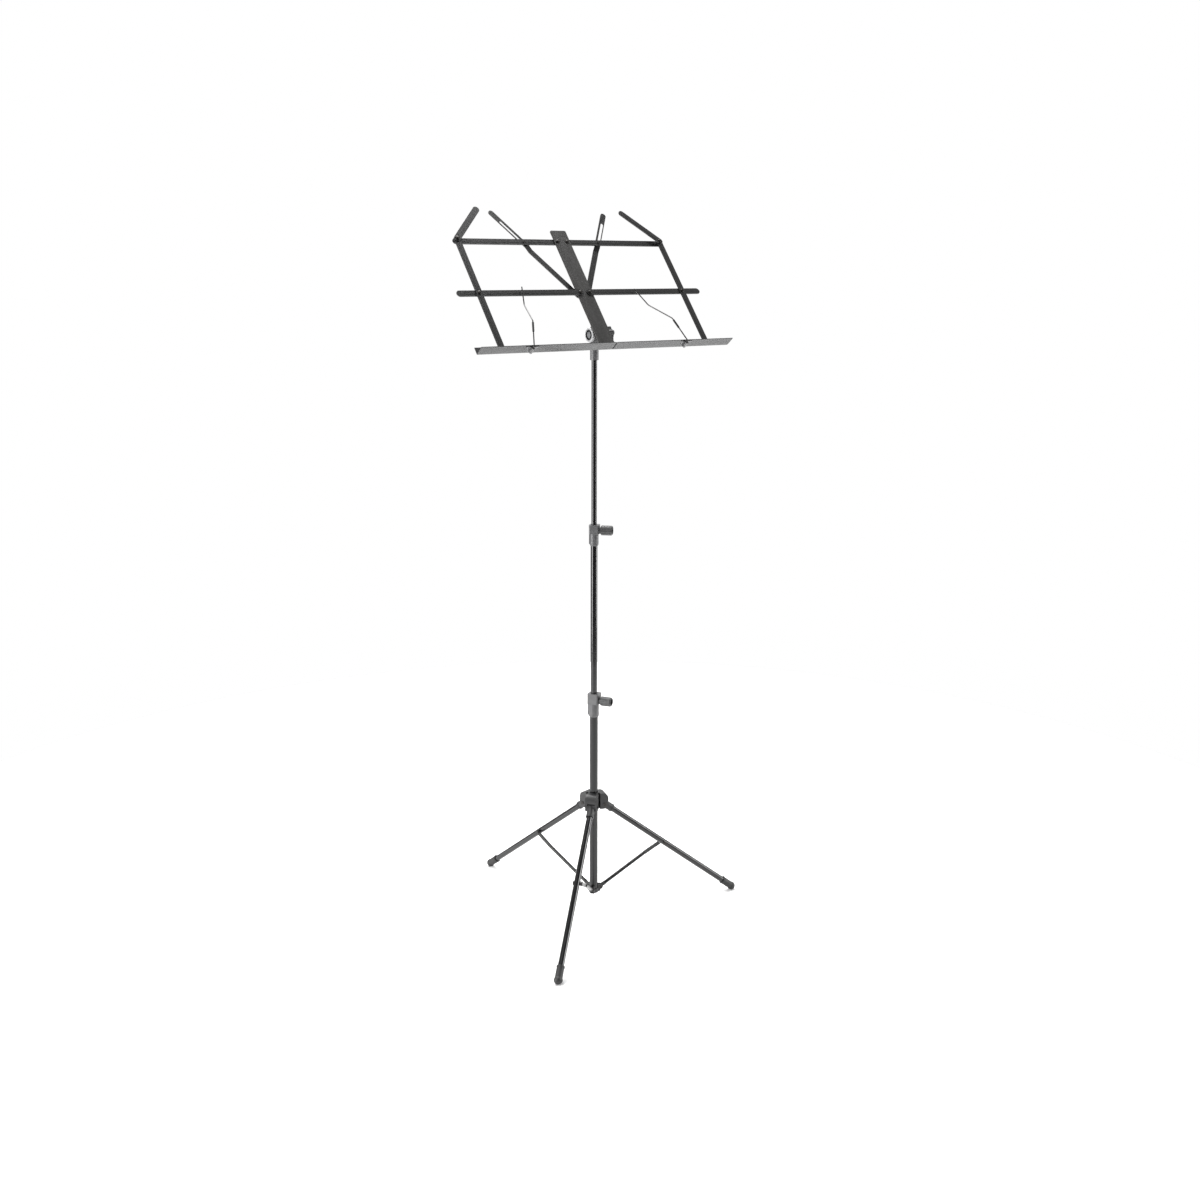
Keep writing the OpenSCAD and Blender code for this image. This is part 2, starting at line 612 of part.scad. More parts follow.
module top_bar(right) color(black_paint) on_desk() wing(right) translate([pivot_u, 0, top_v]) difference() {
    strip(wing_arm, 0, back_1, [0, wing_arm]);
    desk_flat(back_1 - eps, strip_t + 2 * eps) translate([slide_pin_u, 0]) circle(d = slide_pin_d);
    desk_flat(back_1 + strip_t, 1) translate([slide_pin_u, 0]) circle(d = pin_head_d + 0.4);
}

module side_bar(right) color(black_paint) on_desk() wing(right) translate([side_u, 0, ledge_pivot_v])
    rotate([0, -90, 0]) strip(2 * bar_pitch, 0, front_2, [0, bar_pitch, 2 * bar_pitch]);

module finger(right) color(black_paint) on_desk() wing(right) translate([side_u, 0, top_v])
    rotate([0, finger_angle - 180, 0]) strip(finger_len, 0, front_3, [0]);

// folded ledge of one wing: a flange behind and a shelf for the pages
module ledge(right) color(black_paint) on_desk() wing(right) {
    inner = right ? ledge_split[1] : -ledge_split[0];
    difference() {
        union() {
            translate([inner, -desk_offset - front_1 - ledge_t, ledge_low])
                cube([ledge_half - inner, ledge_t, flange_h]);
            translate([inner, -desk_offset - front_1 - shelf_depth, ledge_low])
                cube([ledge_half - inner, shelf_depth, ledge_t]);
        }
        desk_flat(front_1 - eps, ledge_t + 2 * eps) for (x = [pivot_u, side_u])
            translate([x, ledge_pivot_v]) circle(d = rivet_d + 2 * fit);
    }
}

// diagonal stay: pivoted on the plate, slotted where the top bar's pin slides
module diagonal(right) color(black_paint) on_desk() wing(right) translate([pivot_u, 0, mid_v])
    rotate([0, diag_angle - 90, 0]) difference() {
        tip = diag_pin + slot_end + diag_tip;
        bend = diag_pin - 18;
        union() {
            desk_flat(back_3, strip_t) {
                circle(d = diag_w);
                translate([0, -diag_w / 2]) square([bend, diag_w]);
            }
            translate([0, -desk_offset, -diag_w / 2]) rotate([90, 0, 0]) rotate([-90, 0, 0]) linear_extrude(diag_w)
                polygon([[bend - 1, -back_3], [bend - 1, -back_3 - strip_t], [bend + 0.01, -back_3 - strip_t],
                    [bend + 10, -back_2 - strip_t], [bend + 11, -back_2 - strip_t], [bend + 11, -back_2],
                    [bend + 10, -back_2], [bend, -back_3]]);
            desk_flat(back_2, strip_t) {
                translate([bend + 10, -diag_w / 2]) square([tip - bend - 10, diag_w]);
                translate([tip, 0]) circle(d = diag_w);
            }
        }
        desk_flat(back_3 - eps, strip_t + 2 * eps) circle(d = rivet_d + 2 * fit);
        desk_flat(back_2 - eps, strip_t + 2 * eps) translate([0, -slot_bias]) {
            translate([diag_pin - 1, -slot_w / 2]) square([slot_end + 1, slot_w]);
            translate([diag_pin - 1, 0]) circle(d = slot_w);
            translate([diag_pin + slot_end, 0]) circle(d = slot_w);
        }
    }

// headed pin on the top bar, which slides in the diagonal's slot
module slide_pin(right) color(bright_zinc) on_desk() wing(right)
    translate([pivot_u + slide_pin_u, -desk_offset, top_v]) rotate([90, 0, 0]) {
        translate([0, 0, back_2 - 0.3]) cylinder(d = slide_pin_d, h = back_1 - back_2 + strip_t + 0.3);
        translate([0, 0, back_1 + strip_t]) cylinder(d = pin_head_d, h = 0.8);
        translate([0, 0, back_2 - 0.3 - head_t]) cylinder(d = head_d, h = head_t);
    }

// rivets that ride on a side bar: at the ledge, the middle bar, and the top bar with the finger
module wing_rivets(right) color(bright_zinc) on_desk() wing(right) {
    rivet(side_u, ledge_pivot_v, front_1 - 0.1, front_2 + strip_t);
    rivet(side_u, mid_v, front_1 - 0.1, front_2 + strip_t);
    rivet(side_u, top_v, back_1 - 0.1, front_3 + strip_t + 0.1);
    translate([side_u, -desk_offset - back_1 - strip_t - 0.1, top_v]) rotate([90, 0, 0])
        cylinder(d = rivet_d + 2.4, h = front_2 - back_1 - strip_t - 0.1);
}

// ---------- page wires ----------

function clip_x(right) = right ? clip_u[1] : clip_u[0];
function lean(right) = right ? wire_lean[1] : wire_lean[0];

// the wire's frame: z up the wire, from its pivot in the clip
module at_wire(right) on_desk() wing(right)
    translate([clip_x(right), 0, ledge_low - clip_wall - wire_d / 2]) rotate([0, -lean(right), 0]) children();

// spring clip under the shelf: a tapered plate with a rolled barrel that holds the wire's tail
module clip(right) color(grey_plastic) on_desk() wing(right)
    translate([clip_x(right), clip_set - desk_offset - front_1 - shelf_depth, ledge_low]) {
        barrel_r = wire_d / 2 + clip_wall;
        difference() {
            union() {
                translate([0, 0, -clip_sheet]) linear_extrude(clip_sheet) polygon([
                    [-barrel_r - clip_wing[0], 0], [barrel_r + clip_wing[0], 0],
                    [barrel_r + clip_wing[1], clip_len], [-barrel_r - clip_wing[1], clip_len]]);
                translate([0, step / 4, -barrel_r]) rotate([-90, 0, 0]) cylinder(r = barrel_r, h = clip_len - step / 2);
            }
            translate([0, -eps, -barrel_r]) rotate([-90, 0, 0]) cylinder(d = wire_d + 2 * fit, h = clip_len + 2 * eps);
        }
    }

// the wire: its tail lies in the clip, and it turns up at the shelf's edge
module page_wire(right) color(bright_zinc) at_wire(right) {
    tail = [-desk_offset - wire_front + wire_tail, 0];
    bent_rod(rounded(concat([tail], [for (p = wire_points) [-desk_offset - p[1], p[0]]]), wire_bend), wire_d);
}

// rubber sleeve below the wire's first bend
module sleeve(right) color(black_rubber) at_wire(right) {
    foot = [-desk_offset - wire_points[0][1], wire_points[0][0]];
    bend = [-desk_offset - wire_points[1][1], wire_points[1][0]];
    way = bend - foot;
    translate([0, bend.x, bend.y]) rotate([-atan2(way.x, way.y), 0, 0]) translate([0, 0, -sleeve_len - wire_bend - 0.5]) difference() {
        cylinder(d = sleeve_d, h = sleeve_len);
        translate([0, 0, -eps]) cylinder(d = wire_d, h = sleeve_len + 2 * eps);
    }
}

// ---------- the model ----------

lower_tube();
middle_tube();
upper_tube();
middle_tube_bush();
upper_tube_bush();
tripod_hub();
hub_pins();
leg_collar();
collar_pins();
leg(0);  // right_leg
leg(1);  // rear_leg
leg(2);  // front_leg
knuckle(0);  // right_knuckle
knuckle(1);  // rear_knuckle
knuckle(2);  // front_knuckle
foot(0);  // right_foot
foot(1);  // rear_foot
foot(2);  // front_foot
strut(0);  // right_strut
strut(1);  // rear_strut
strut(2);  // front_strut
leg_rivet(0);  // right_leg_rivet
leg_rivet(1);  // rear_leg_rivet
leg_rivet(2);  // front_leg_rivet
clamp(0);  // lower_clamp
clamp(1);  // upper_clamp
clamp_knob(0);  // lower_knob
clamp_knob(1);  // upper_knob
clamp_pad(0);  // lower_pad
clamp_pad(1);  // upper_pad
desk_socket();
desk_bracket();
tilt_bolt();
tilt_disc();
tilt_knob();
desk_plate();
plate_rivets();
ledge(false);  // left_ledge
ledge(true);  // right_ledge
mid_bar(false);  // left_mid_bar
mid_bar(true);  // right_mid_bar
top_bar(false);  // left_top_bar
top_bar(true);  // right_top_bar
side_bar(false);  // left_side_bar
side_bar(true);  // right_side_bar
diagonal(false);  // left_diagonal
diagonal(true);  // right_diagonal
finger(false);  // left_finger
finger(true);  // right_finger
wing_rivets(false);  // left_wing_rivets
wing_rivets(true);  // right_wing_rivets
slide_pin(false);  // left_slide_pin
slide_pin(true);  // right_slide_pin
clip(false);  // left_clip
clip(true);  // right_clip
page_wire(false);  // left_page_wire
page_wire(true);  // right_page_wire
sleeve(false);  // left_sleeve
sleeve(true);  // right_sleeve
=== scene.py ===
import math

import bmesh
import bpy
from mathutils import Matrix, Vector


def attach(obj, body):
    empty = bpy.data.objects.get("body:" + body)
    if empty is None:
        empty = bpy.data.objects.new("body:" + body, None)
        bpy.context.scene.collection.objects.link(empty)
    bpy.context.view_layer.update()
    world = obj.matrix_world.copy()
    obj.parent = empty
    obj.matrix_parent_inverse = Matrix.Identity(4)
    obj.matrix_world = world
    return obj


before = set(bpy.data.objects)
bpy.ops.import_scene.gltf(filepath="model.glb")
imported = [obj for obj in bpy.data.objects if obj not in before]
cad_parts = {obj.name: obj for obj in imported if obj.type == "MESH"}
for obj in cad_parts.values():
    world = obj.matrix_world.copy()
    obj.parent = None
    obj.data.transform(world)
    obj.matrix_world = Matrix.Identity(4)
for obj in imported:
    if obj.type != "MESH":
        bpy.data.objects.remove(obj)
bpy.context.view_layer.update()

# ---------------------------------------------------------------- the three column tubes
# Thin-walled steel tube, drawn and cut, then dipped in black stoving enamel.
# The enamel flows out smooth, so the tubes are glossy, with a faint orange peel.
# The middle and upper tubes rub in their clamps, which leaves fine marks along them.


def linear(code):
    """A colour for a shader, from its sRGB hex code."""
    channels = [int(code[i : i + 2], 16) / 255 for i in (0, 2, 4)]
    return (*[c / 12.92 if c <= 0.04045 else ((c + 0.055) / 1.055) ** 2.4 for c in channels], 1)


def add(material, kind, settings=None, **inputs):
    """Adds a node to a material. Inputs are by name or number; one given as an output socket is linked."""
    made = material.node_tree.nodes.new(kind)
    for name, value in (settings or {}).items():
        setattr(made, name, value)
    for name, value in inputs.items():
        key = int(name[1:]) if name[0] == "_" else name.replace("_", " ")
        if isinstance(value, bpy.types.NodeSocket):
            material.node_tree.links.new(value, made.inputs[key])
        else:
            made.inputs[key].default_value = value
    return made


def finish_of(name, **surface):
    """A new material and its shader, with the values that are the same all over it."""
    material = bpy.data.materials.new(name)
    material.use_nodes = True
    shader = material.node_tree.nodes["Principled BSDF"]
    for key, value in surface.items():
        shader.inputs[key.replace("_", " ")].default_value = value
    return material, shader


def drive(material, shader, key, output):
    material.node_tree.links.new(output, shader.inputs[key])


def pattern(material, size_mm, stretch=(1, 1, 1), detail=3.0):
    """Noise whose blotches are the given size, longer along an axis with a smaller stretch."""
    place = add(material, "ShaderNodeTexCoord")
    scaled = add(material, "ShaderNodeVectorMath", {"operation": "MULTIPLY"},
                 _0=place.outputs["Object"], _1=stretch)
    noise = add(material, "ShaderNodeTexNoise", Vector=scaled.outputs[0], Scale=1000 / size_mm, Detail=detail)
    return noise.outputs["Fac"]


def spread(material, amount, low, high):
    """Turns noise into values between low and high."""
    ranged = add(material, "ShaderNodeMapRange", Value=amount)
    ranged.inputs["From Min"].default_value = 0.3
    ranged.inputs["From Max"].default_value = 0.7
    ranged.inputs["To Min"].default_value = low
    ranged.inputs["To Max"].default_value = high
    return ranged.outputs["Result"]


def blend_colours(material, amount, dark, light):
    ramp = add(material, "ShaderNodeValToRGB", Fac=amount)
    ramp.color_ramp.elements[0].position = 0.35
    ramp.color_ramp.elements[0].color = linear(dark)
    ramp.color_ramp.elements[1].position = 0.65
    ramp.color_ramp.elements[1].color = linear(light)
    return ramp.outputs["Color"]


def raise_bumps(material, shader, height, depth_mm, strength=1.0):
    bump = add(material, "ShaderNodeBump", Height=height, Distance=depth_mm / 1000, Strength=strength)
    drive(material, shader, "Normal", bump.outputs["Normal"])


def dress(material, *names):
    """Gives CAD nodes their finish."""
    for name in names:
        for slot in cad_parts[name].material_slots:
            slot.material = material


# stoving enamel: deep black with a clear gloss over it
enamel, shader = finish_of("black_stoving_enamel", IOR=1.46, Coat_Weight=0.05, Coat_Roughness=0.05, Coat_IOR=1.5)
drive(enamel, shader, "Base Color", blend_colours(enamel, pattern(enamel, 14), "0a0a0b", "101011"))
drive(enamel, shader, "Roughness", spread(enamel, pattern(enamel, 9), 0.13, 0.17))
raise_bumps(enamel, shader, pattern(enamel, 5), 0.01, 0.3)  # orange peel, drawn at 5 mm so that it shows
dress(enamel, "lower_tube")

# the same enamel, dulled in fine lines along the tube where it slides
rubbed, shader = finish_of("rubbed_stoving_enamel", IOR=1.5, Coat_Weight=0.25, Coat_Roughness=0.06, Coat_IOR=1.5)
drive(rubbed, shader, "Base Color", blend_colours(rubbed, pattern(rubbed, 1.2, (1, 1, 0.02)), "0b0b0c", "131314"))
drive(rubbed, shader, "Roughness", spread(rubbed, pattern(rubbed, 0.8, (1, 1, 0.015)), 0.15, 0.2))
raise_bumps(rubbed, shader, pattern(rubbed, 5), 0.01, 0.3)
dress(rubbed, "middle_tube", "upper_tube")

# ---------------------------------------------------------------- guides inside the column
# Black nylon guides, moulded and pressed onto the feet of the sliding tubes.
# Nylon is waxy: dark, with a wide soft highlight and no visible grain.
nylon, shader = finish_of("black_nylon", IOR=1.53)
drive(nylon, shader, "Base Color", blend_colours(nylon, pattern(nylon, 5), "151515", "1c1c1c"))
drive(nylon, shader, "Roughness", spread(nylon, pattern(nylon, 3), 0.42, 0.55))
dress(nylon, "middle_tube_bush", "upper_tube_bush")

# ---------------------------------------------------------------- hub, collar and leg ends
# Charcoal glass-filled nylon, moulded in spark-eroded tools.
# The tool leaves a fine even grain, so the surface is satin.
moulded, shader = finish_of("charcoal_moulded_nylon", IOR=1.5)
drive(moulded, shader, "Base Color", blend_colours(moulded, pattern(moulded, 7), "1e1e1f", "272728"))
drive(moulded, shader, "Roughness", spread(moulded, pattern(moulded, 2.5), 0.4, 0.54))
raise_bumps(moulded, shader, pattern(moulded, 0.7, detail=1.0), 0.04, 0.4)  # drawn coarser than its 0.1 mm
dress(moulded, "tripod_hub", "leg_collar", "right_knuckle", "rear_knuckle", "front_knuckle")

# ---------------------------------------------------------------- pins of the hub and the collar
# Mild steel pins, blackened in hot oil, pressed through the mouldings.
# Oil-blacked steel is a dark metal with a soft, uneven sheen.
blacked, shader = finish_of("oil_blacked_steel", Metallic=1.0)
drive(blacked, shader, "Base Color", blend_colours(blacked, pattern(blacked, 1.5), "2b2a29", "4a4846"))
drive(blacked, shader, "Roughness", spread(blacked, pattern(blacked, 0.9), 0.28, 0.45))
dress(blacked, "hub_pins", "collar_pins")

# ---------------------------------------------------------------- legs
# The same enamelled steel tube as the column, 11 mm across, with faint scuffs round it.
# The scuffs are from folding, and lie in short patches.
leg_enamel, shader = finish_of("leg_stoving_enamel", IOR=1.48, Coat_Weight=0.12, Coat_Roughness=0.05, Coat_IOR=1.5)
drive(leg_enamel, shader, "Base Color", blend_colours(leg_enamel, pattern(leg_enamel, 20), "0b0b0c", "121213"))
drive(leg_enamel, shader, "Roughness", spread(leg_enamel, pattern(leg_enamel, 12, detail=6.0), 0.11, 0.2))
raise_bumps(leg_enamel, shader, pattern(leg_enamel, 5), 0.01, 0.3)
dress(leg_enamel, "right_leg", "rear_leg", "front_leg")

# ---------------------------------------------------------------- struts
# Round steel bar with hammered-flat ends, painted black after bending.
# The paint is thinner than on the tubes, so it is duller and shows the flattened steel under it.
strut_paint, shader = finish_of("black_strut_paint", IOR=1.5)
drive(strut_paint, shader, "Base Color", blend_colours(strut_paint, pattern(strut_paint, 6), "101010", "1a1a1a"))
drive(strut_paint, shader, "Roughness", spread(strut_paint, pattern(strut_paint, 4), 0.22, 0.34))
raise_bumps(strut_paint, shader, pattern(strut_paint, 3.0), 0.03, 0.3)
dress(strut_paint, "right_strut", "rear_strut", "front_strut")

# ---------------------------------------------------------------- rivets
# Oil-blacked steel rivets, with their heads set round by the riveting tool.
# Each head is a low dome on its rim; the domes are turned here in mesh, on the heads' flat discs.


def dome(name, body, centre, axis, across, height):
    """A low round rivet head, standing on a disc."""
    mesh = bmesh.new()
    rings, sides = 6, 28
    rows = []
    for ring in range(rings):
        part = ring / rings
        radius = across / 2 * math.cos(part * math.pi / 2)
        rise = height * math.sin(part * math.pi / 2)
        turns = [2 * math.pi * k / sides for k in range(sides)]
        rows.append([mesh.verts.new((radius * math.cos(turn), radius * math.sin(turn), rise)) for turn in turns])
    top = mesh.verts.new((0, 0, height))
    for low, high in zip(rows, rows[1:]):
        for k in range(sides):
            mesh.faces.new((low[k], low[(k + 1) % sides], high[(k + 1) % sides], high[k]))
    for k in range(sides):
        mesh.faces.new((rows[-1][k], rows[-1][(k + 1) % sides], top))
    mesh.faces.new(list(reversed(rows[0])))
    data = bpy.data.meshes.new(name)
    upright = Vector((0, 0, 1)).rotation_difference(Vector(axis)).to_matrix().to_4x4()
    mesh.transform(Matrix.Translation(centre) @ upright)
    mesh.to_mesh(data)
    mesh.free()
    for face in data.polygons:
        face.use_smooth = len(face.vertices) < sides
    data.materials.append(blacked)
    piece = bpy.data.objects.new(name, data)
    bpy.context.scene.collection.objects.link(piece)
    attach(piece, body)


dress(blacked, "right_leg_rivet", "rear_leg_rivet", "front_leg_rivet", "plate_rivets",
      "left_wing_rivets", "right_wing_rivets", "left_slide_pin", "right_slide_pin")

# the desk leans back 39 degrees; its rivets' heads lie between 2 and 7.5 mm in front of the plate's middle
lean = math.radians(39)
plate_offset = 20  # millimetres from the tilt axis to the plate's middle
desk_face = Vector((0, -math.cos(lean), math.sin(lean)))
desk_up = Vector((0, math.sin(lean), math.cos(lean)))
tilt_axis = Vector((0, 0, 1.039))


def on_desk(across, up, front):
    """A place on the desk in millimetres: to the reader's right, up the desk, and in front of the plate's middle."""
    return tilt_axis + (Vector((across, 0, 0)) + desk_up * up + desk_face * (plate_offset + front)) / 1000


plate_row, side_bar_row = 9.4, 203.4  # millimetres from the desk's middle to each row of rivets
head_across, head_rise = 0.0066, 0.0008  # metres

# up the desk and in front of the plate, for the rivets of the ledge, the middle bar and the top bar
plate_heads = {"low": (-37, 3.5), "middle": (70, 3.8), "top": (177, 1.9)}
bar_heads = {"low": (-37, 5.5), "middle": (70, 5.5), "top": (177, 7.4)}

for side, name in ((-1, "left"), (1, "right")):
    for level, (up, front) in plate_heads.items():
        spot = on_desk(side * plate_row, up, front)
        dome(f"{name}_{level}_plate_rivet_head", "desk_plate", spot, desk_face, head_across, head_rise)
    for level, (up, front) in bar_heads.items():
        spot = on_desk(side * side_bar_row, up, front)
        dome(f"{name}_{level}_bar_rivet_head", f"{name}_side_bar", spot, desk_face, head_across, head_rise)

# ---------------------------------------------------------------- rubber feet
# Black rubber feet, moulded as a sleeve with a ball end and pushed onto the legs.
# Rubber is matt and slightly grey where floor dust has rubbed into it.
rubber, shader = finish_of("black_moulded_rubber", IOR=1.5, Sheen_Weight=0.05, Sheen_Roughness=0.5)
drive(rubber, shader, "Base Color", blend_colours(rubber, pattern(rubber, 4, detail=6.0), "111111", "1b1b1b"))
drive(rubber, shader, "Roughness", spread(rubber, pattern(rubber, 3), 0.45, 0.62))
raise_bumps(rubber, shader, pattern(rubber, 0.9), 0.05, 0.5)
dress(rubber, "right_foot", "rear_foot", "front_foot")

# ---------------------------------------------------------------- clamps and their knobs
# Grey ABS mouldings that sit on the tubes' ends, each with a steel screw moulded into a fluted knob.
# ABS takes a finer grain than the tripod's nylon, and is lighter and shinier.
abs_plastic, shader = finish_of("charcoal_abs", IOR=1.54)
drive(abs_plastic, shader, "Base Color", blend_colours(abs_plastic, pattern(abs_plastic, 8), "4b4b4c", "565657"))
drive(abs_plastic, shader, "Roughness", spread(abs_plastic, pattern(abs_plastic, 2), 0.32, 0.45))
raise_bumps(abs_plastic, shader, pattern(abs_plastic, 0.6, detail=1.0), 0.03, 0.3)  # drawn coarser than its 0.1 mm
dress(abs_plastic, "lower_clamp", "upper_clamp")

knob_abs, shader = finish_of("black_knob_abs", IOR=1.54)
drive(knob_abs, shader, "Base Color", blend_colours(knob_abs, pattern(knob_abs, 5), "303031", "3a3a3b"))
drive(knob_abs, shader, "Roughness", spread(knob_abs, pattern(knob_abs, 2, detail=5.0), 0.3, 0.44))
raise_bumps(knob_abs, shader, pattern(knob_abs, 0.6, detail=1.0), 0.03, 0.3)
dress(knob_abs, "lower_knob", "upper_knob")

# ---------------------------------------------------------------- pads of the clamps
# Turned brass pads that the screws press on the tubes. Brass is warm yellow, with turning lines.
brass, shader = finish_of("turned_brass", Metallic=1.0)
drive(brass, shader, "Base Color", blend_colours(brass, pattern(brass, 1.0), "a8834a", "c39b58"))
drive(brass, shader, "Roughness", spread(brass, pattern(brass, 0.5), 0.25, 0.4))
dress(brass, "lower_pad", "upper_pad")

# ---------------------------------------------------------------- tilt joint
# A nylon socket on the upper tube, held between the bracket's ears by a bolt, a dished disc and a lobed knob.
# The socket is the clamps' grey ABS and the knob the tripod's nylon.
# The disc is smoother than both; its face is painted dark in the dish, as painted shade, and bright on its rim, as a
# painted highlight.
dress(abs_plastic, "desk_socket")
dress(moulded, "tilt_knob")

rim_highlight_disc, shader = finish_of("rim_highlight_painted_disc", IOR=1.5, Coat_Weight=0.3, Coat_Roughness=0.2)
place = add(rim_highlight_disc, "ShaderNodeTexCoord").outputs["Object"]
spoke = add(rim_highlight_disc, "ShaderNodeVectorMath", {"operation": "SUBTRACT"}, _0=place, _1=tilt_axis).outputs[0]
flat = add(rim_highlight_disc, "ShaderNodeVectorMath", {"operation": "MULTIPLY"}, _0=spoke, _1=(0, 1, 1)).outputs[0]
radius = add(rim_highlight_disc, "ShaderNodeVectorMath", {"operation": "LENGTH"}, _0=flat).outputs["Value"]
# painted shade and highlight: dark grey near the tilt axis, pale grey further out
ring = add(rim_highlight_disc, "ShaderNodeMapRange", Value=radius)
ring.inputs["From Min"].default_value = 0.0075  # the painted shade of the dish ends 8 mm from the axis, and the painted highlight of the rim begins
ring.inputs["From Max"].default_value = 0.0105
drive(rim_highlight_disc, shader, "Base Color", blend_colours(rim_highlight_disc, ring.outputs["Result"], "2c2c2d", "9a9a9b"))
drive(rim_highlight_disc, shader, "Roughness", spread(rim_highlight_disc, pattern(rim_highlight_disc, 1.5), 0.25, 0.38))
dress(rim_highlight_disc, "tilt_disc")

zinc, shader = finish_of("bright_zinc_plate", Metallic=1.0)
drive(zinc, shader, "Base Color", blend_colours(zinc, pattern(zinc, 2.2), "9b9c9e", "bcbdbf"))
drive(zinc, shader, "Roughness", spread(zinc, pattern(zinc, 1.1), 0.2, 0.34))
dress(zinc, "tilt_bolt")

# ---------------------------------------------------------------- bracket and centre plate
# Pressed from 1.5 and 2 mm sheet and sprayed with dark grey paint, which dries satin.
# The sheet was rolled, and its faint lines run up the plate; the sprayed film is grainy at half a millimetre.
sheet_paint, shader = finish_of("charcoal_sheet_paint", IOR=1.5, Coat_Weight=0.15, Coat_Roughness=0.3)
sheet_grain = pattern(sheet_paint, 18, (1, 0.3, 0.3), 5.0)
drive(sheet_paint, shader, "Base Color", blend_colours(sheet_paint, sheet_grain, "2a2928", "343332"))
drive(sheet_paint, shader, "Roughness", spread(sheet_paint, pattern(sheet_paint, 5, (1, 0.2, 0.2)), 0.32, 0.44))
raise_bumps(sheet_paint, shader, pattern(sheet_paint, 0.9), 0.02, 0.35)
dress(sheet_paint, "desk_plate", "desk_bracket")

# ---------------------------------------------------------------- bars, diagonals and fingers
# Cold-rolled steel strip, cut with round ends and punched, with one rib rolled along its middle, then painted.
# The paint is thin: rolling lines show through it along each strip.


def strip_paint(name, along, dark, light):
    """Thin black paint on rolled strip, with its lines running along the strip."""
    across = desk_face.cross(along).normalized()
    paint, shader = finish_of(name, IOR=1.5, Coat_Weight=0.2, Coat_Roughness=0.22)
    place = add(paint, "ShaderNodeTexCoord")
    ways = (along * 0.03, across, desk_face)
    reach = [add(paint, "ShaderNodeVectorMath", {"operation": "DOT_PRODUCT"}, _0=place.outputs["Object"], _1=way)
             .outputs["Value"] for way in ways]
    lines = add(paint, "ShaderNodeCombineXYZ", X=reach[0], Y=reach[1], Z=reach[2]).outputs[0]
    line_gap = 1.3  # millimetres between the rolling lines
    rolled = add(paint, "ShaderNodeTexNoise", Vector=lines, Scale=1000 / line_gap, Detail=4.0).outputs["Fac"]
    drive(paint, shader, "Base Color", blend_colours(paint, rolled, dark, light))
    drive(paint, shader, "Roughness", spread(paint, rolled, 0.3, 0.34))
    raise_bumps(paint, shader, rolled, 0.004, 0.2)
    return paint


diagonal_up, diagonal_out = 107, 66  # millimetres that a diagonal rises and runs between its rivet and its pin
finger_angle = math.radians(46.5)  # between a finger and the top bar
# one black paint, painted lighter on the left strips than on the right ones: painted light from the left side
strip_paint_with_side_light = {"left": ("181818", "202020"), "right": ("141414", "1c1c1c")}
for side, name in ((-1, "left"), (1, "right")):
    level = strip_paint(f"{name}_level_strip_paint", Vector((1, 0, 0)), *strip_paint_with_side_light[name])
    dress(level, f"{name}_mid_bar", f"{name}_top_bar")
    upright = strip_paint(f"{name}_upright_strip_paint", desk_up, *strip_paint_with_side_light[name])
    dress(upright, f"{name}_side_bar")
    rise = (desk_up * diagonal_up + Vector((side * diagonal_out, 0, 0))).normalized()
    dress(strip_paint(f"{name}_diagonal_strip_paint", rise, *strip_paint_with_side_light[name]), f"{name}_diagonal")
    point = (desk_up * math.sin(finger_angle) - Vector((side * math.cos(finger_angle), 0, 0))).normalized()
    dress(strip_paint(f"{name}_finger_strip_paint", point, *strip_paint_with_side_light[name]), f"{name}_finger")

# ---------------------------------------------------------------- ledges
# Sheet steel, folded to an angle along its length and painted with the strips.
# Pages and pencils have rubbed the shelf, so its paint is a little greyer and smoother in long patches.
ledge_paint, shader = finish_of("rubbed_ledge_paint", IOR=1.5, Coat_Weight=0.45, Coat_Roughness=0.18)
rubbed_patches = pattern(ledge_paint, 10, (0.15, 1, 1), 5.0)
drive(ledge_paint, shader, "Base Color", blend_colours(ledge_paint, rubbed_patches, "202021", "2c2c2d"))
drive(ledge_paint, shader, "Roughness", spread(ledge_paint, pattern(ledge_paint, 8, (0.1, 1, 1)), 0.26, 0.4))
raise_bumps(ledge_paint, shader, pattern(ledge_paint, 1.2, (0.2, 1, 1)), 0.02, 0.3)
dress(ledge_paint, "left_ledge", "right_ledge")

# ---------------------------------------------------------------- clips and page wires
# Spring clips are rolled from painted strip; the wires are 2 mm spring wire, drawn, bent and dipped in black lacquer.
# The lacquer is thin, so the wire keeps its fine drawn lines and a hard, narrow highlight.
lit_clip_grey, shader = finish_of("painted_light_clip_grey", IOR=1.5, Coat_Weight=0.6, Coat_Roughness=0.2)
# the clips' grey is lighter than the black strip paint they are rolled from: painted light, for their lit look
drive(lit_clip_grey, shader, "Base Color", blend_colours(lit_clip_grey, pattern(lit_clip_grey, 2), "565657", "636364"))
drive(lit_clip_grey, shader, "Roughness", spread(lit_clip_grey, pattern(lit_clip_grey, 1.2), 0.25, 0.38))
dress(lit_clip_grey, "left_clip", "right_clip")

drawn_wire, shader = finish_of("black_lacquered_wire", IOR=1.5)
drawn_lines = pattern(drawn_wire, 0.8, (1, 0.1, 0.1))
drive(drawn_wire, shader, "Base Color", blend_colours(drawn_wire, drawn_lines, "111111", "1c1c1c"))
drive(drawn_wire, shader, "Roughness", spread(drawn_wire, pattern(drawn_wire, 0.6, (1, 0.1, 0.1)), 0.16, 0.28))
dress(drawn_wire, "left_page_wire", "right_page_wire")

# ---------------------------------------------------------------- sleeves of the page wires
# Short lengths of soft black vinyl tube, pushed onto the wires so that they don't mark the pages.
vinyl, shader = finish_of("black_vinyl_tube", IOR=1.53)
drive(vinyl, shader, "Base Color", blend_colours(vinyl, pattern(vinyl, 2), "131313", "1b1b1b"))
drive(vinyl, shader, "Roughness", spread(vinyl, pattern(vinyl, 1.5), 0.35, 0.5))
dress(vinyl, "left_sleeve", "right_sleeve")

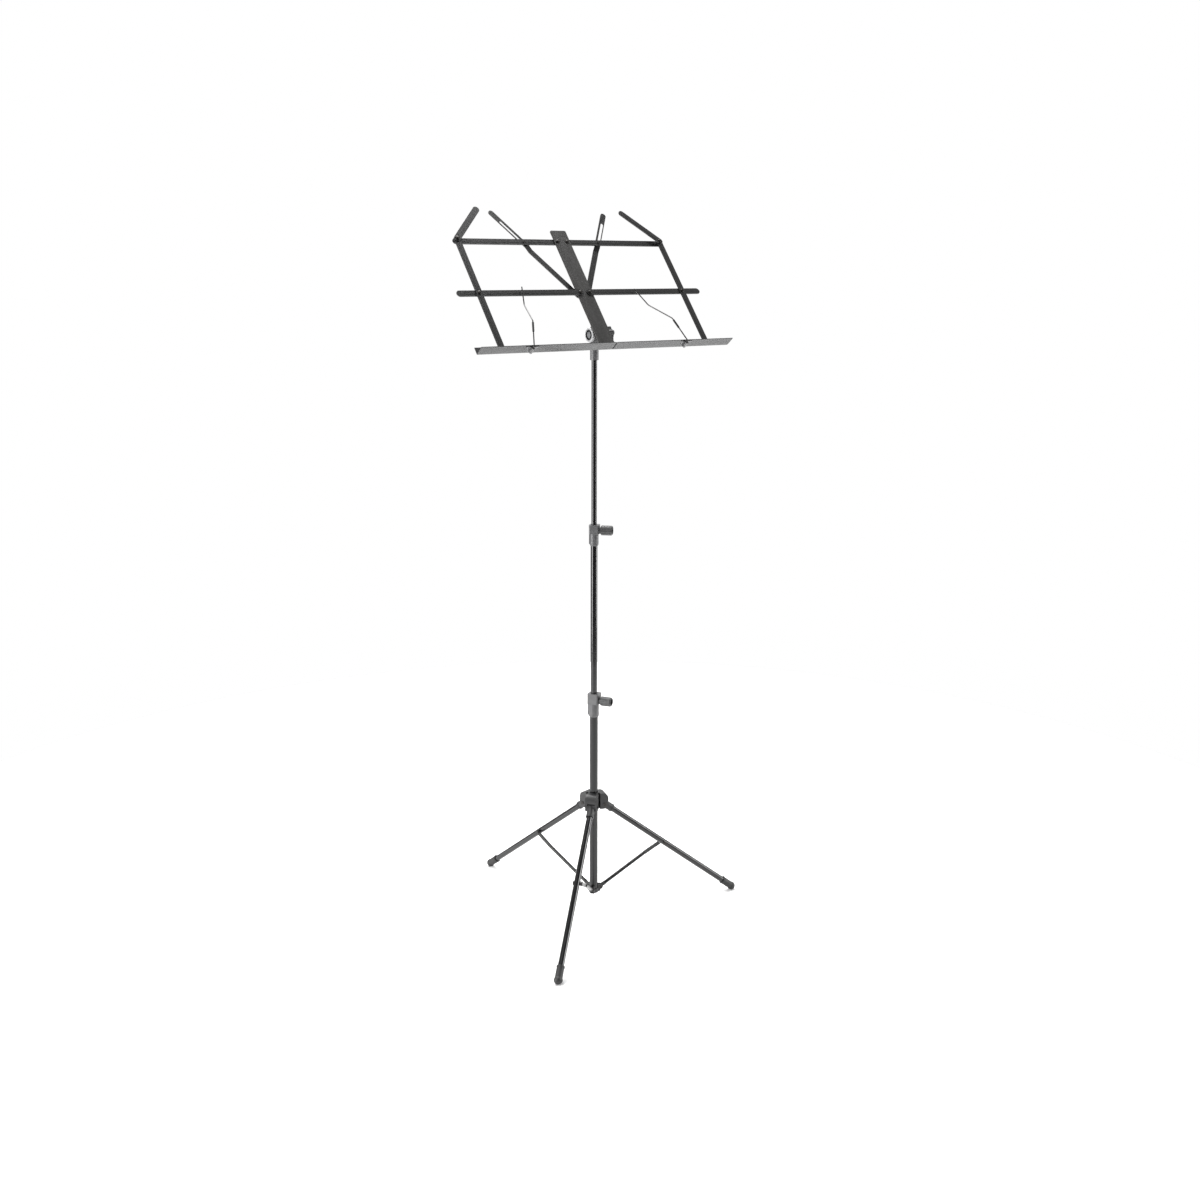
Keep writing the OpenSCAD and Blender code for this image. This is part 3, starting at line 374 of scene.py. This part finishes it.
# ---------------------------------------------------------------- floor, light and camera
# A studio: a round pale floor, a white backdrop behind the stand, and soft boxes at the sides and above.
# The camera's side of the room is dim, so black tubes stay black in their middle, with pale lines down their sides.
floor = bmesh.new()
bmesh.ops.create_circle(floor, cap_ends=True, segments=96, radius=1.6)
floor_mesh = bpy.data.meshes.new("floor")
floor.to_mesh(floor_mesh)
floor.free()
floor_paint, shader = finish_of("white_studio_floor", Roughness=0.9)
drive(floor_paint, shader, "Base Color", blend_colours(floor_paint, pattern(floor_paint, 400), "f6f6f6", "fafafa"))
floor_mesh.materials.append(floor_paint)
floor_piece = bpy.data.objects.new("floor", floor_mesh)
bpy.context.scene.collection.objects.link(floor_piece)

studio = bpy.data.worlds.new("studio")
studio.use_nodes = True
tree = studio.node_tree
place = tree.nodes.new("ShaderNodeTexCoord").outputs["Generated"]
behind = tree.nodes.new("ShaderNodeVectorMath")
behind.operation = "DOT_PRODUCT"
tree.links.new(place, behind.inputs[0])
behind.inputs[1].default_value = (0.57, 0.82, -0.1)  # towards the backdrop
room = tree.nodes.new("ShaderNodeMapRange")
tree.links.new(behind.outputs["Value"], room.inputs["Value"])
room.inputs["From Min"].default_value = -0.5
room.inputs["From Max"].default_value = 0.9
room.inputs["To Min"].default_value = 0.1
room.inputs["To Max"].default_value = 0.85
seen = tree.nodes.new("ShaderNodeLightPath").outputs["Is Camera Ray"]
brightness = tree.nodes.new("ShaderNodeMix")
tree.links.new(seen, brightness.inputs["Factor"])
tree.links.new(room.outputs["Result"], brightness.inputs["A"])
brightness.inputs["B"].default_value = 1.0
tree.nodes["Background"].inputs["Color"].default_value = linear("ffffff")
tree.links.new(brightness.outputs["Result"], tree.nodes["Background"].inputs["Strength"])
bpy.context.scene.world = studio
bpy.context.scene.view_settings.view_transform = "Standard"


def soft_box(name, place, aim, width, height, power):
    lamp = bpy.data.lights.new(name, "AREA")
    lamp.shape = "RECTANGLE"
    lamp.size, lamp.size_y = width, height
    lamp.energy = power
    box = bpy.data.objects.new(name, lamp)
    box.location = place
    box.rotation_euler = (Vector(aim) - Vector(place)).to_track_quat("-Z", "Y").to_euler()
    bpy.context.scene.collection.objects.link(box)


soft_box("left_box", (-2.4, 0.2, 1.0), (0, 0, 0.8), 1.2, 2.4, 90)
soft_box("right_box", (2.1, -1.5, 1.0), (0, 0, 0.7), 0.7, 2.4, 60)
soft_box("top_box", (0.2, 1.25, 3.0), (0, 0, 0.3), 2.6, 2.3, 150)
soft_box("front_box", (-1.6, -0.9, 3.2), (0, 0, 0.8), 1.4, 1.4, 14)

eye = Vector((-1.3009, -1.8761, 1.1509))
lens = bpy.data.cameras.new("camera")
lens.sensor_width = 36
lens.lens = 40.6
camera = bpy.data.objects.new("camera", lens)
turned, dipped, rolled_over = math.radians(-35), math.radians(90 - 13.89), math.radians(0.14)
camera.matrix_world = (Matrix.Translation(eye) @ Matrix.Rotation(turned, 4, "Z")
                       @ Matrix.Rotation(dipped, 4, "X") @ Matrix.Rotation(rolled_over, 4, "Z"))
bpy.context.scene.collection.objects.link(camera)
bpy.context.scene.camera = camera
